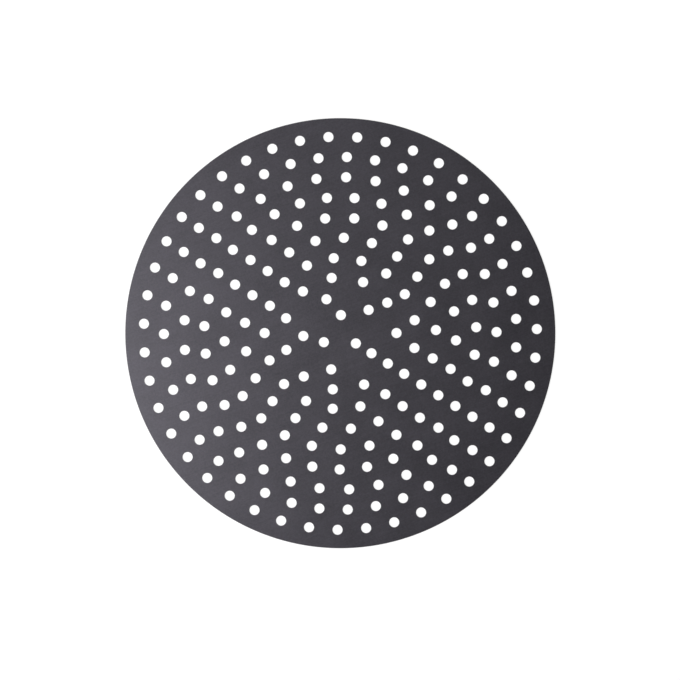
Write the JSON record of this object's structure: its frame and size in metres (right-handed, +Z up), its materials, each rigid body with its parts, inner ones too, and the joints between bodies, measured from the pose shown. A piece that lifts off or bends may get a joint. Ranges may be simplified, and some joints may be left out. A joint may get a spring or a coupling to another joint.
{
  "type": "pizza pan",
  "caption": "Flat round rimless pizza pan of dark hard-anodised aluminium sheet, perforated with rings of round vent holes so that the crust bakes crisp.",
  "frame": {"origin": "centre of the disk's underside, the face that it rests on", "axes": "+Z up out of the baking face; +X and +Y lie in the sheet, and the radial line on which every ring has a hole is 32.16 degrees clockwise from +X, seen from above"},
  "size_m": [0.4063, 0.4064, 0.001],
  "materials": {
    "hard_coat": "satin"
  },
  "bodies": {
    "root": {"perforated_disk": "hard_coat"}
  },
  "joints": []
}
